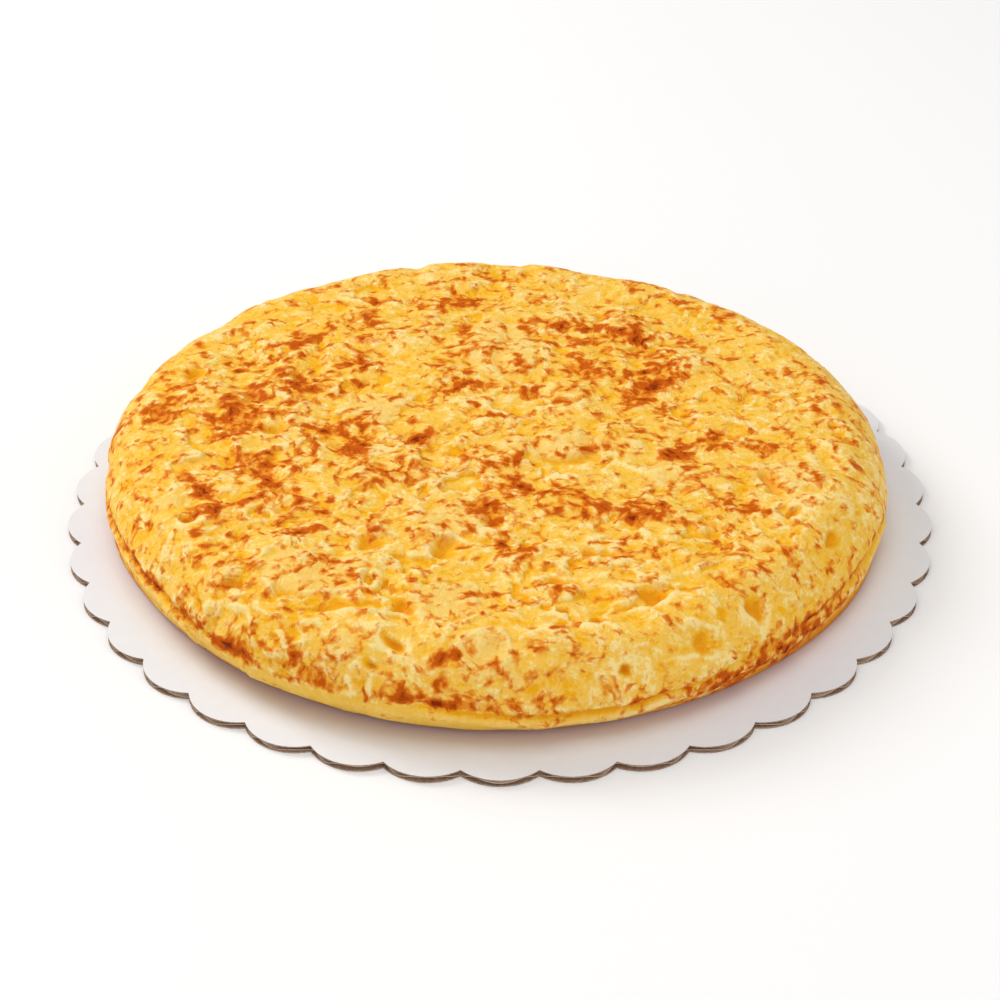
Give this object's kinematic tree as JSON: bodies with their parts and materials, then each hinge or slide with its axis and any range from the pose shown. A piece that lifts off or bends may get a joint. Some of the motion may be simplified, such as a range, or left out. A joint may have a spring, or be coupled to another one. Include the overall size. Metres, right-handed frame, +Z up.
{
  "type": "spanish omelette",
  "caption": "Whole round Spanish potato omelette, thick and golden with browned patches, lying on a scalloped corrugated cake board.",
  "frame": {"origin": "middle of the cake board's underside", "axes": "+Z up, through the omelette's thickness; -Y towards the viewer of the picture; +X to that viewer's right, along the board's flutes"},
  "size_m": [0.299, 0.3, 0.0364],
  "materials": {
    "board": "matte",
    "egg": "satin"
  },
  "bodies": {
    "root": {"cake_board": "board", "omelette": "egg"}
  },
  "joints": []
}
